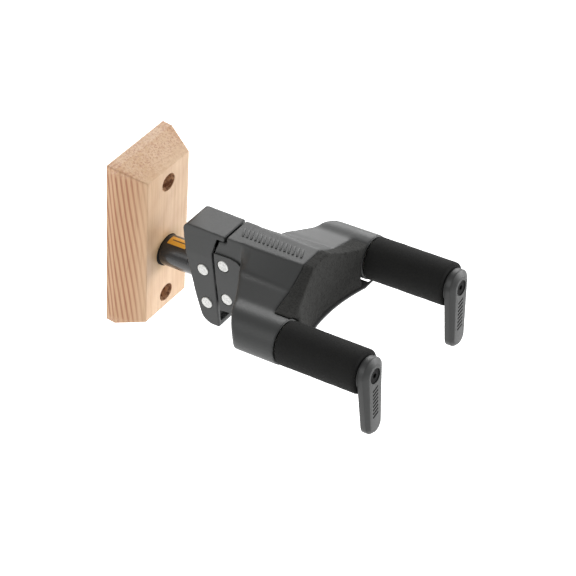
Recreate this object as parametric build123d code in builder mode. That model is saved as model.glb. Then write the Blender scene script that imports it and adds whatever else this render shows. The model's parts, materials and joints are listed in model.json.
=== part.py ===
"""Wall guitar hanger with a self-closing yoke.

Frame: +Z up, the wall is the plane y = 0 and the hanger stands out towards -Y. The origin is the
middle of the wood block's back face. The shaft, the bracket, the yoke and the arms share one line
that rises by SHAFT_TILT from the wall's normal, so they are drawn in the shaft's own planes:

    ACROSS  x = right, y = up, normal = forward along the shaft
    SIDE    x = forward, y = up, normal = left
    PLAN    x = forward, y = right, normal = up

"forward" (f) is counted from where the shaft leaves the block's front face.
"""

import os
from math import atan2, cos, degrees, hypot, radians, sin

from build123d import *

os.makedirs("parts", exist_ok=True)

# ---------------------------------------------------------------- driving dimensions (mm)

# wood block
BLOCK_WIDTH = 54.0
BLOCK_HEIGHT = 121.2
BLOCK_DEPTH = 24.6
BLOCK_BAND = 6.2          # square band behind the bevels
BEVEL_SIDE = 7.2          # bevel run on the long sides
BEVEL_END = 6.2           # bevel run at top and bottom
BLOCK_EDGE = 0.9
SCREW_SPACING = 87.0
SCREW_HOLE_R = 2.75
SCREW_BORE_R = 6.0
SCREW_BORE_DEPTH = 7.0
SHAFT_EXIT_Z = -8.4       # height of the shaft on the block's front face

# shaft
SHAFT_TILT = 9.0          # degrees above the wall's normal
TUBE_R = 9.52
TUBE_WALL = 2.0
TUBE_BACK = -14.0
TUBE_FRONT = 28.4
COLLAR_R = 10.2
COLLAR_BACK = -2.6
COLLAR_FRONT = 0.9
LABEL_BACK, LABEL_FRONT = 1.5, 22.0
LABEL_THICK = 0.15

# swivel joint between the shaft and the bracket
SWIVEL_BOLT_R = 4.0
RUN_FIT = 0.05            # radial running fit
SOCKET_R = 9.85           # recess in the bracket's back that takes the tube's end
SOCKET_FRONT = 29.1
BACK_WALL_FRONT = 31.0

# rear bracket
BRACKET_HALF = 11.6
BRACKET_HALF_TOP = 10.4
BRACKET_CREASE_U = 16.0
BRACKET_TOP_BACK_U = 35.1
BRACKET_TOP_FRONT_U = 34.2
ROOF_FRONT = 54.2
ROOF_UNDER_U = 31.0
WALL_INNER_HALF = 9.2
CLEAR = 1.2               # gap between the bracket and the yoke
YOKE_STEP_U = ROOF_UNDER_U - CLEAR

# parallel links
REAR_PIN_F = 36.3
UPPER_PIN_U, LOWER_PIN_U = 5.6, -18.8
LINK_F, LINK_U = 15.4, 7.9          # from a rear pin to its front pin at rest
FRONT_PIN_F = REAR_PIN_F + LINK_F
LINK_LENGTH = hypot(LINK_F, LINK_U)
LINK_ANGLE = degrees(atan2(LINK_U, LINK_F))
PIN_R = 2.0
RIVET_HEAD_R = 3.75
LINK_HEIGHT = 8.0
LINK_INNER, LINK_OUTER = 6.0, 8.4
OPEN_PIVOT_GAP = 0.35

# yoke
SPINE_REAR_HALF, SPINE_FRONT_HALF = 10.2, 8.2
SPINE_REAR_U, SPINE_FRONT_U = 34.1, 33.0
SPINE_FRONT = 108.0
CHEEK_HALF = 10.8
PLATE_THICK = 1.0
CREASE_HALF = 22.0         # crease between the spine's facets and the shoulders, at the front
CREASE_U = 24.8
SHOULDER_U = 20.5
WALL = 2.3

# arms
ARM_X, ARM_U = 45.0, 7.7
BARREL_R = 13.6
BARREL_FRONT = 119.3
BORE_R = 11.3
ARM_TUBE_R = 8.0
ARM_TUBE_BORE = 6.0
ARM_TUBE_REAR = 99.4
FOAM_R = 13.1
FOAM_REAR, FOAM_FRONT = 119.9, 171.8
LEVER_REAR, LEVER_FRONT = 172.0, 178.5
LEVER_WIDTH = 12.0
LEVER_TIP_WIDTH = 10.6
LEVER_TOP = 8.0            # above the arm's axis
LEVER_DROP = 38.0          # below the arm's axis
LEVER_FLANGE_R = 10.4
LEVER_FLANGE = 2.2
LEVER_RECESS_R = 4.7
LEVER_RECESS_DEPTH = 1.2
SPIGOT = 9.0               # lever's stub inside the arm tube
SCREW_R = 2.0
LEVER_HANG = {"left": 4.5, "right": 7.5}   # degrees both levers lean towards -X at rest

# drive that turns the arms
CRANK_R = 7.3
CRANK_PIN_R = 1.5
CRANK_REAR, CRANK_THICK = 96.2, 3.0
SLOT_HALF = 2.15
CROSSBAR_REAR, CROSSBAR_THICK = 92.2, 3.0
CROSSBAR_HALF_LENGTH = 45.0

# ---------------------------------------------------------------- planes and helpers

TILT = radians(SHAFT_TILT)
FORWARD = Vector(0, -cos(TILT), sin(TILT))
UP = Vector(0, sin(TILT), cos(TILT))
EXIT = Vector(0, -BLOCK_DEPTH, SHAFT_EXIT_Z)
ACROSS = Plane(origin=EXIT, x_dir=(1, 0, 0), z_dir=FORWARD)
SIDE = Plane(origin=EXIT, x_dir=FORWARD, z_dir=(-1, 0, 0))
PLAN = Plane(origin=EXIT, x_dir=FORWARD, z_dir=UP)
SIDES = {"left": -1, "right": 1}


def save(builder, name):
    """Label one finished piece and write its STEP file."""
    builder.part.label = name
    export_step(builder.part, f"parts/{name}.step")


def across(f):
    """Plane across the shaft, f forward of the block's face."""
    return ACROSS.offset(f)


def on_arm(side, f):
    """Plane across an arm, centred on its axis."""
    plane = ACROSS.offset(f)
    return Plane(origin=plane.from_local_coords((SIDES[side] * ARM_X, ARM_U, 0)), x_dir=(1, 0, 0),
                 z_dir=FORWARD)


def rod(plane, radius, length, bore=0.0):
    """Round bar or tube that grows from a plane, inside the current part."""
    with BuildSketch(plane) as ring:
        Circle(radius)
        if bore:
            Circle(bore, mode=Mode.SUBTRACT)
    extrude(ring.sketch, amount=length)


# ---------------------------------------------------------------- wood block and shaft

with BuildPart() as wood_block:
    with BuildSketch(Plane.XZ):
        Rectangle(BLOCK_WIDTH, BLOCK_HEIGHT)
    extrude(amount=BLOCK_BAND)
    with BuildSketch(Plane.XZ.offset(BLOCK_BAND)):
        Rectangle(BLOCK_WIDTH, BLOCK_HEIGHT)
    with BuildSketch(Plane.XZ.offset(BLOCK_DEPTH)):
        Rectangle(BLOCK_WIDTH - 2 * BEVEL_SIDE, BLOCK_HEIGHT - 2 * BEVEL_END)
    loft()
    outer_edges = wood_block.edges().filter_by(lambda e: e.center().Y < -0.01)
    fillet(outer_edges, radius=BLOCK_EDGE)
    with Locations(Plane.XZ.offset(BLOCK_DEPTH)):
        with Locations((0, SCREW_SPACING / 2), (0, -SCREW_SPACING / 2)):
            CounterBoreHole(SCREW_HOLE_R, SCREW_BORE_R, SCREW_BORE_DEPTH)
    # sloping socket for the tube, seat for the collar, and the anchor bolt's hole
    with BuildSketch(across(TUBE_BACK)):
        Circle(TUBE_R)
    extrude(amount=30.0, mode=Mode.SUBTRACT)
    with BuildSketch(across(COLLAR_BACK)):
        Circle(COLLAR_R)
    extrude(amount=20.0, mode=Mode.SUBTRACT)
    with BuildSketch(across(TUBE_BACK)):
        Circle(4.2)
    extrude(amount=-30.0, mode=Mode.SUBTRACT)
    with BuildSketch(across(TUBE_BACK - 4.0)):
        Circle(9.0)
    extrude(amount=-20.0, mode=Mode.SUBTRACT)
save(wood_block, "wood_block")

with BuildPart() as shaft_tube:
    rod(across(TUBE_BACK), TUBE_R, TUBE_FRONT - TUBE_BACK, TUBE_R - TUBE_WALL)
save(shaft_tube, "shaft_tube")

with BuildPart() as shaft_collar:
    rod(across(COLLAR_BACK), COLLAR_R, COLLAR_FRONT - COLLAR_BACK, TUBE_R)
    fillet(shaft_collar.edges().filter_by(GeomType.CIRCLE).group_by(SortBy.RADIUS)[-1]
           .sort_by(Axis((0, 0, 0), FORWARD))[-1], radius=0.4)
save(shaft_collar, "shaft_collar")

with BuildPart() as shaft_label:
    with BuildSketch(across(LABEL_BACK)):
        Circle(TUBE_R + LABEL_THICK)
        Circle(TUBE_R, mode=Mode.SUBTRACT)
        with BuildLine():
            Polyline((0, 0), (30, 8), (30, 30), (-30, 30), (-30, 8), close=True)
        make_face(mode=Mode.INTERSECT)
    extrude(amount=LABEL_FRONT - LABEL_BACK)
save(shaft_label, "shaft_label")

with BuildPart() as tube_plug:
    rod(across(TUBE_BACK), TUBE_R - TUBE_WALL, 12.0, 3.9)
save(tube_plug, "tube_plug")

with BuildPart() as anchor_washer:
    rod(across(TUBE_BACK - 5.2), 8.4, 1.2, 4.1)
save(anchor_washer, "anchor_washer")

with BuildPart() as anchor_bolt:
    rod(across(TUBE_BACK - 7.6), 3.9, 17.6)
    with BuildSketch(across(TUBE_BACK - 7.6)):
        RegularPolygon(5.6, 6)
    extrude(amount=2.4)
save(anchor_bolt, "anchor_bolt")

with BuildPart() as swivel_plug:
    rod(across(12.0), TUBE_R - TUBE_WALL, TUBE_FRONT - 12.0, SWIVEL_BOLT_R)
save(swivel_plug, "swivel_plug")

with BuildPart() as swivel_bolt:
    rod(across(13.0), SWIVEL_BOLT_R, 18.3)
    rod(across(31.3), 5.5, 1.7)
    with BuildSketch(across(33.0)):
        RegularPolygon(2.6, 6)
    extrude(amount=-1.1, mode=Mode.SUBTRACT)
save(swivel_bolt, "swivel_bolt")

# ---------------------------------------------------------------- rear bracket (turns on the shaft)

BRACKET_SIDE = [(24.0, BRACKET_TOP_BACK_U), (ROOF_FRONT, BRACKET_TOP_FRONT_U),
                (ROOF_FRONT - 0.6, ROOF_UNDER_U), (48.3, ROOF_UNDER_U), (45.9, 24.7), (44.0, 19.5),
                (43.8, 7.0), (43.6, -34.8), (36.6, -34.8), (31.4, -31.2), (28.5, -16.6), (24.5, 15.0)]

with BuildPart() as rear_bracket:
    with BuildSketch(across(20.0)):
        with BuildLine():
            Polyline((-BRACKET_HALF, -36), (BRACKET_HALF, -36), (BRACKET_HALF, BRACKET_CREASE_U),
                     (BRACKET_HALF_TOP, 35), (-BRACKET_HALF_TOP, 35), (-BRACKET_HALF, BRACKET_CREASE_U),
                     close=True)
        make_face()
    extrude(amount=40.0)
    with BuildSketch(SIDE):
        with BuildLine():
            Polyline(*BRACKET_SIDE, close=True)
        make_face()
    extrude(amount=20.0, both=True, mode=Mode.INTERSECT)
    # rounded back and belly
    for corner, radius in (((24.0, BRACKET_TOP_BACK_U), 4.5), ((36.6, -34.8), 7.0), ((31.4, -31.2), 7.0)):
        spot = SIDE.from_local_coords((*corner, 0))
        fillet(rear_bracket.edges().filter_by(Axis.X).sort_by_distance(spot)[0], radius=radius)
    # hollow for the links, open at the front
    with BuildSketch(SIDE):
        with BuildLine():
            Polyline((BACK_WALL_FRONT, ROOF_UNDER_U), (BACK_WALL_FRONT, -16.5), (34.6, -28.0), (39.4, -31.6),
                     (60, -31.6), (60, ROOF_UNDER_U), close=True)
        make_face()
    extrude(amount=WALL_INNER_HALF, both=True, mode=Mode.SUBTRACT)
    # socket for the tube's end and seat for the bush
    with BuildSketch(across(15.0)):
        Circle(SOCKET_R)
    extrude(amount=SOCKET_FRONT - 15.0, mode=Mode.SUBTRACT)
    with BuildSketch(across(SOCKET_FRONT)):
        Circle(6.0)
    extrude(amount=4.0, mode=Mode.SUBTRACT)
    # pin holes with shallow seats for the rivet heads
    for pin_u in (UPPER_PIN_U, LOWER_PIN_U):
        for outward in (1, -1):
            with BuildSketch(Plane(SIDE.from_local_coords((REAR_PIN_F, pin_u, 0)), z_dir=(outward, 0, 0))):
                Circle(PIN_R)
            extrude(amount=20.0, mode=Mode.SUBTRACT)
            with BuildSketch(Plane(SIDE.from_local_coords((REAR_PIN_F, pin_u, 0)), z_dir=(outward, 0, 0))
                             .offset(BRACKET_HALF - 0.5)):
                Circle(RIVET_HEAD_R + 0.35)
            extrude(amount=5.0, mode=Mode.SUBTRACT)
save(rear_bracket, "rear_bracket")

with BuildPart() as friction_washer:
    rod(across(TUBE_FRONT + 0.05), SOCKET_R - 0.1, SOCKET_FRONT - TUBE_FRONT - 0.1, SWIVEL_BOLT_R + 0.3)
save(friction_washer, "friction_washer")

with BuildPart() as swivel_bush:
    rod(across(SOCKET_FRONT), 6.0, 2.1, SWIVEL_BOLT_R + RUN_FIT)
save(swivel_bush, "swivel_bush")


def link_pin(name, f, u, half):
    """Pin through both walls, with a riveted head on each side."""
    with BuildPart() as pin:
        with BuildSketch(Plane(SIDE.from_local_coords((f, u, 0)), z_dir=(1, 0, 0))):
            Circle(PIN_R)
        extrude(amount=half, both=True)
        for outward in (1, -1):
            with BuildSketch(Plane(SIDE.from_local_coords((f, u, 0)), z_dir=(outward, 0, 0))
                             .offset(half - 0.45)):
                Circle(RIVET_HEAD_R)
            extrude(amount=1.0)
        rims = pin.edges().filter_by(GeomType.CIRCLE).filter_by(lambda e: e.radius > PIN_R + 1)
        fillet([rims.sort_by(Axis.X)[0], rims.sort_by(Axis.X)[-1]], radius=0.45)
    save(pin, name)


def spacer_pair(name, f, u):
    """Two washers that hold the links off the walls."""
    with BuildPart() as pair:
        for outward in (1, -1):
            with BuildSketch(Plane(SIDE.from_local_coords((f, u, 0)), z_dir=(outward, 0, 0))
                             .offset(LINK_OUTER + 0.12)):
                Circle(RIVET_HEAD_R)
                Circle(PIN_R, mode=Mode.SUBTRACT)
            extrude(amount=WALL_INNER_HALF - LINK_OUTER - 0.14)
    save(pair, name)


link_pin("upper_rear_pin", REAR_PIN_F, UPPER_PIN_U, BRACKET_HALF)
link_pin("lower_rear_pin", REAR_PIN_F, LOWER_PIN_U, BRACKET_HALF)
spacer_pair("upper_rear_spacers", REAR_PIN_F, UPPER_PIN_U)
spacer_pair("lower_rear_spacers", REAR_PIN_F, LOWER_PIN_U)

# ---------------------------------------------------------------- links


def link(name, u, outward, front_gap):
    """One flat steel link from a rear pin to a front pin."""
    middle = ((REAR_PIN_F + FRONT_PIN_F) / 2, u + LINK_U / 2)
    with BuildPart() as bar:
        with BuildSketch(SIDE.offset(-outward * LINK_INNER)):
            with Locations(Location((*middle, 0), (0, 0, LINK_ANGLE))):
                SlotCenterToCenter(LINK_LENGTH, LINK_HEIGHT)
            with Locations((REAR_PIN_F, u)):
                Circle(PIN_R + RUN_FIT, mode=Mode.SUBTRACT)
            with Locations((FRONT_PIN_F, u + LINK_U)):
                Circle(PIN_R + front_gap, mode=Mode.SUBTRACT)
        extrude(amount=-outward * (LINK_OUTER - LINK_INNER))
    save(bar, name)


for side, outward in SIDES.items():
    link(f"upper_link_{side}", UPPER_PIN_U, outward, RUN_FIT)
    link(f"lower_link_{side}", LOWER_PIN_U, outward, OPEN_PIVOT_GAP)

SPRING_WIRE_R = 0.45
SPRING_R = 2.7
SPRING_TURNS = 6
SPRING_PITCH = 1.5

with BuildPart() as lift_spring:
    hub = SIDE.from_local_coords((REAR_PIN_F, UPPER_PIN_U, 0))
    coil_length = SPRING_TURNS * SPRING_PITCH
    with BuildLine():
        coil = Helix(SPRING_PITCH, coil_length, SPRING_R, center=hub - Vector(coil_length / 2, 0, 0),
                     direction=(1, 0, 0))
    with BuildSketch(Plane(origin=coil @ 0, z_dir=coil % 0)):
        Circle(SPRING_WIRE_R)
    sweep(path=coil)
    # short straight legs at both ends
    for end, length in ((1, 6.0), (0, -1.5)):
        with BuildSketch(Plane(origin=coil @ end, z_dir=coil % end)):
            Circle(SPRING_WIRE_R)
        extrude(amount=length)
save(lift_spring, "lift_spring")

# ---------------------------------------------------------------- drive fixed to the bracket

with BuildPart() as drive_arm:
    with BuildSketch(SIDE):
        with BuildLine():
            Polyline((BACK_WALL_FRONT, -15.5), (34.0, -15.5), (36.5, -12.8), (42.0, -7.5), (55.4, -7.5),
                     (59.6, -2.8), (CROSSBAR_REAR, -2.8), (CROSSBAR_REAR, 4.4), (60.0, 4.4), (54.0, -1.2),
                     (35.0, -1.2), (35.0, -7.6), (BACK_WALL_FRONT, -7.6), close=True)
        make_face()
    extrude(amount=2.0, both=True)
    with BuildSketch(across(BACK_WALL_FRONT)):
        with Locations((0, -11.5)):
            Rectangle(11.0, 7.6)
    extrude(amount=2.0)
    for x in (-3.9, 3.9):
        with BuildSketch(across(BACK_WALL_FRONT)):
            with Locations((x, -11.5)):
                Circle(1.2)
        extrude(amount=2.0, mode=Mode.SUBTRACT)
save(drive_arm, "drive_arm")

with BuildPart() as drive_screws:
    for x in (-3.9, 3.9):
        with BuildSketch(across(BACK_WALL_FRONT + 2.0)):
            with Locations((x, -11.5)):
                Circle(1.9)
        extrude(amount=1.0)
        with BuildSketch(across(BACK_WALL_FRONT)):
            with Locations((x, -11.5)):
                Circle(1.2)
        extrude(amount=2.0)
save(drive_screws, "drive_screws")

SLOT_U = ARM_U - CRANK_R * sin(radians(45)) + 0.01
with BuildPart() as drive_crossbar:
    with BuildSketch(across(CROSSBAR_REAR)):
        with Locations((0, SLOT_U)):
            SlotOverall(2 * CROSSBAR_HALF_LENGTH, 2 * SLOT_HALF + 3.0)
        for outward in (1, -1):
            with Locations((outward * (ARM_X - 6.3), SLOT_U)):
                SlotOverall(8.4, 2 * SLOT_HALF, mode=Mode.SUBTRACT)
    extrude(amount=CROSSBAR_THICK)
save(drive_crossbar, "drive_crossbar")

with BuildPart() as rest_bumper:
    with BuildSketch(SIDE):
        with BuildLine():
            Polyline((50.2, ROOF_UNDER_U), (53.2, ROOF_UNDER_U), (53.2, YOKE_STEP_U + 0.3),
                     (50.2, YOKE_STEP_U + 0.3), close=True)
        make_face()
    extrude(amount=6.0, both=True)
save(rest_bumper, "rest_bumper")

# ---------------------------------------------------------------- yoke
# The housing is a tapering spine with two shoulders that end in barrels for the arms. Half plans
# are drawn for the right and mirrored.

YOKE_BOTTOM = ARM_U - BARREL_R
BARREL_OUT = ARM_X + BARREL_R
SHOULDER_REAR = ((65.4, CHEEK_HALF), (69.3, 18.2), (75.0, 27.6))
SHOULDER_CORNER = ((86.5, 50.8), (89.4, 55.6), (92.2, BARREL_OUT))
CAVITY_REAR = ((68.2, WALL_INNER_HALF), (72.0, 17.2), (77.0, 26.2))
CAVITY_CORNER = ((88.4, 45.4), (95.6, 45.4))
CAVITY_FRONT = 98.9
RIM_HALF = 37.4
COVER_REAR = ((67.6, 8.0), (72.0, 18.6), (83.4, RIM_HALF))
COVER_SCREWS = ((73.0, 10.0), (73.0, -10.0), (100.0, 28.0), (100.0, -28.0))
RIM_CORNER_F, RIM_CORNER_X, RIM_MIDDLE_F, RIM_TIP = 121.0, 32.2, 115.6, 41.0
RIM_RADIUS = (RIM_CORNER_X ** 2 + (RIM_CORNER_F - RIM_MIDDLE_F) ** 2) / (2 * (RIM_CORNER_F - RIM_MIDDLE_F))
COVER_THICK = 1.4
CAVITY_LOW, CAVITY_TOP = YOKE_BOTTOM + COVER_THICK, SHOULDER_U - WALL
YOKE_SIDE = [(ROOF_FRONT + CLEAR, 40.0), (ROOF_FRONT + CLEAR - 0.4, YOKE_STEP_U),
             (48.3 + CLEAR, YOKE_STEP_U), (47.1, 24.5), (45.2, 19.4), (45.0, 7.0), (44.8, -21.4),
             (54.0, -20.4), (56.3, -14.6), (60.0, YOKE_BOTTOM), (SPINE_FRONT, YOKE_BOTTOM),
             (SPINE_FRONT, 40.0)]
SPINE_STATIONS = ((44.0, SPINE_REAR_HALF, SPINE_REAR_U, CHEEK_HALF, 17.0),
                  (65.4, 9.75, 33.75, CHEEK_HALF, CREASE_U),
                  (74.0, 9.45, 33.6, 19.5, CREASE_U),
                  (SPINE_FRONT, SPINE_FRONT_HALF, SPINE_FRONT_U, CREASE_HALF, CREASE_U))

with BuildPart() as spine:
    # narrows and falls towards the front
    for f, half_top, u_top, half_low, u_low in SPINE_STATIONS:
        with BuildSketch(across(f)):
            with BuildLine():
                Polyline((half_low, -24), (half_low, u_low), (half_top, u_top), (-half_top, u_top),
                         (-half_low, u_low), (-half_low, -24), close=True)
            make_face()
    loft(ruled=True)
    with BuildSketch(SIDE):
        with BuildLine():
            Polyline(*YOKE_SIDE, close=True)
        make_face()
    extrude(amount=30.0, both=True, mode=Mode.INTERSECT)

with BuildPart() as shoulders:
    with BuildSketch(PLAN.offset(YOKE_BOTTOM)):
        with BuildLine():
            ThreePointArc(*SHOULDER_REAR)
            Polyline(SHOULDER_REAR[-1], *SHOULDER_CORNER, (BARREL_FRONT, BARREL_OUT), (BARREL_FRONT, 0),
                     (SHOULDER_REAR[0][0], 0), SHOULDER_REAR[0])
        make_face()
        mirror(about=Plane.XZ)
    extrude(amount=30.0)
    with BuildSketch(across(50.0)):
        with BuildLine():
            Line((ARM_X, YOKE_BOTTOM), (-ARM_X, YOKE_BOTTOM))
            Polyline((-ARM_X, ARM_U + BARREL_R), (-39.0, SHOULDER_U), (-CREASE_HALF, CREASE_U),
                     (CREASE_HALF, CREASE_U), (39.0, SHOULDER_U), (ARM_X, ARM_U + BARREL_R))
            for outward in (1, -1):
                ThreePointArc((outward * ARM_X, ARM_U + BARREL_R), (outward * BARREL_OUT, ARM_U),
                              (outward * ARM_X, YOKE_BOTTOM))
        make_face()
    extrude(amount=80.0, mode=Mode.INTERSECT)
    # in front of the shoulders only the barrels go on, so the pad has its place
    with BuildSketch(across(SPINE_FRONT)):
        Rectangle(2 * ARM_X, 80.0)
        with Locations((-ARM_X, ARM_U), (ARM_X, ARM_U)):
            Circle(BARREL_R, mode=Mode.SUBTRACT)
    extrude(amount=20.0, mode=Mode.SUBTRACT)

with BuildPart() as yoke_housing:
    add(spine.part)
    add(shoulders.part)
    # hollow between the cheeks and under the spine, open at the rear and below
    for half, outline in (
            (7.0, [(40, -30), (60, -30), (60, -7), (104.4, -7), (104.4, 30.2), (57.6, 31.0), (57.6, 26.6),
                   (48.5, 26.6), (40, 20)]),
            (WALL_INNER_HALF, [(40, -30), (104.4, -30), (104.4, 17.4), (60, 17.4), (47.6, 22), (40, 20)])):
        with BuildSketch(SIDE):
            with BuildLine():
                Polyline(*outline, close=True)
            make_face()
        extrude(amount=half, both=True, mode=Mode.SUBTRACT)
    # cavity for the drive crossbar
    with BuildSketch(PLAN.offset(CAVITY_LOW)):
        with BuildLine():
            ThreePointArc(*CAVITY_REAR)
            Polyline(CAVITY_REAR[-1], *CAVITY_CORNER, (95.6, 33.6), (104.4, 33.6), (104.4, 0),
                     (CAVITY_REAR[0][0], 0), CAVITY_REAR[0])
        make_face()
        mirror(about=Plane.XZ)
    extrude(amount=CAVITY_TOP - CAVITY_LOW, mode=Mode.SUBTRACT)
    # pocket for the bottom cover
    with BuildSketch(PLAN.offset(YOKE_BOTTOM - 1)):
        with BuildLine():
            ThreePointArc(*COVER_REAR)
            Polyline(COVER_REAR[-1], (BARREL_FRONT + 1, RIM_HALF), (BARREL_FRONT + 1, 0),
                     (COVER_REAR[0][0], 0), COVER_REAR[0])
        make_face()
        mirror(about=Plane.XZ)
    extrude(amount=1 + COVER_THICK, mode=Mode.SUBTRACT)
    # posts for the cover's screws
    with BuildSketch(PLAN.offset(YOKE_BOTTOM + COVER_THICK)):
        with Locations(*COVER_SCREWS):
            Circle(3.0)
            Circle(1.3, mode=Mode.SUBTRACT)
    extrude(amount=CAVITY_TOP + 1 - YOKE_BOTTOM - COVER_THICK)
    # bores for the arm bushes
    for side in SIDES:
        with BuildSketch(on_arm(side, CAVITY_FRONT)):
            Circle(BORE_R)
        extrude(amount=30.0, mode=Mode.SUBTRACT)
        with BuildSketch(on_arm(side, 95.4)):
            Circle(CRANK_R + 2.9)
        extrude(amount=5.0, mode=Mode.SUBTRACT)
    # pin holes, and shallow seats for the side plates' rivets
    for u in (UPPER_PIN_U + LINK_U, LOWER_PIN_U + LINK_U):
        with BuildSketch(SIDE.offset(-20)):
            with Locations((FRONT_PIN_F, u)):
                Circle(PIN_R)
        extrude(amount=40.0, mode=Mode.SUBTRACT)
save(yoke_housing, "yoke_housing")

PLATE_OUTLINE = [(45.8, 21.0), (57.7, 21.3), (62.7, 20.0), (65.2, 17.6), (64.6, 8.3), (60.0, -3.9),
                 (56.3, -14.6), (54.2, -20.1), (45.3, -21.1), (45.4, 7.0)]


def side_plate(side):
    """Raised plate round the two front rivets."""
    outward = SIDES[side]
    with BuildPart() as plate:
        with BuildSketch(SIDE.offset(-outward * CHEEK_HALF)):
            with BuildLine():
                Polyline(*PLATE_OUTLINE, close=True)
            make_face()
            with Locations((FRONT_PIN_F, UPPER_PIN_U + LINK_U), (FRONT_PIN_F, LOWER_PIN_U + LINK_U)):
                Circle(RIVET_HEAD_R + 0.35, mode=Mode.SUBTRACT)
        extrude(amount=-outward * PLATE_THICK)
    save(plate, f"side_plate_{side}")


for side in SIDES:
    side_plate(side)

link_pin("upper_front_pin", FRONT_PIN_F, UPPER_PIN_U + LINK_U, CHEEK_HALF + 0.5)
link_pin("lower_front_pin", FRONT_PIN_F, LOWER_PIN_U + LINK_U, CHEEK_HALF + 0.5)
spacer_pair("upper_front_spacers", FRONT_PIN_F, UPPER_PIN_U + LINK_U)
spacer_pair("lower_front_spacers", FRONT_PIN_F, LOWER_PIN_U + LINK_U)

with BuildPart() as bottom_cover:
    with BuildSketch(PLAN.offset(YOKE_BOTTOM)):
        with BuildLine():
            ThreePointArc(*COVER_REAR)
            Polyline(COVER_REAR[-1], (BARREL_FRONT + 0.3, RIM_HALF), (BARREL_FRONT + 0.3, RIM_TIP),
                     (RIM_CORNER_F, RIM_TIP), (RIM_CORNER_F, RIM_CORNER_X))
            RadiusArc((RIM_CORNER_F, RIM_CORNER_X), (RIM_MIDDLE_F, 0), -RIM_RADIUS)
            Polyline((RIM_MIDDLE_F, 0), (COVER_REAR[0][0], 0), COVER_REAR[0])
        make_face()
        mirror(about=Plane.XZ)
        with Locations(*COVER_SCREWS):
            Circle(1.3, mode=Mode.SUBTRACT)
    extrude(amount=COVER_THICK - 0.1)
    # the rim's tips pass under the foam sleeves
    for side in SIDES:
        with BuildSketch(on_arm(side, BARREL_FRONT)):
            Circle(FOAM_R + 0.4)
        extrude(amount=5.0, mode=Mode.SUBTRACT)
save(bottom_cover, "bottom_cover")

with BuildPart() as cover_screws:
    for place in COVER_SCREWS:
        with BuildSketch(PLAN.offset(YOKE_BOTTOM)):
            with Locations(place):
                Circle(1.3)
        extrude(amount=COVER_THICK + 5.0)
        with BuildSketch(PLAN.offset(YOKE_BOTTOM)):
            with Locations(place):
                Circle(2.6)
        extrude(amount=-1.2)
save(cover_screws, "cover_screws")

# ---------------------------------------------------------------- cradle pad (foam)

PAD_BACK = SPINE_FRONT + 0.2
PAD_CORNER_F, PAD_CORNER_X, PAD_MIDDLE_F = 119.4, 43.0, 114.6
PAD_EDGE = ((30.6, -10.0), (30.6, 10.0), (41.0, 20.9), (33.2, 21.9), (25.4, 24.1), (17.1, 27.6),
            (11.0, 30.8), (SPINE_FRONT_HALF, SPINE_FRONT_U))

with BuildPart() as cradle_pad:
    with BuildSketch(PLAN.offset(YOKE_BOTTOM + COVER_THICK)):
        with BuildLine():
            Polyline((PAD_CORNER_F, -PAD_CORNER_X), (PAD_BACK, -PAD_CORNER_X), (PAD_BACK, PAD_CORNER_X),
                     (PAD_CORNER_F, PAD_CORNER_X))
            ThreePointArc((PAD_CORNER_F, PAD_CORNER_X), (PAD_MIDDLE_F, 0), (PAD_CORNER_F, -PAD_CORNER_X))
        make_face()
    extrude(amount=40.0)
    # the ears run over the barrels
    with BuildSketch(across(100.0)):
        with BuildLine():
            Polyline(*PAD_EDGE, *((-x, u) for x, u in reversed(PAD_EDGE)), close=True)
        make_face()
        with Locations((-ARM_X, ARM_U), (ARM_X, ARM_U)):
            Circle(BARREL_R + 0.2, mode=Mode.SUBTRACT)
    extrude(amount=40.0, mode=Mode.INTERSECT)
save(cradle_pad, "cradle_pad")

# ---------------------------------------------------------------- arms


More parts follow.
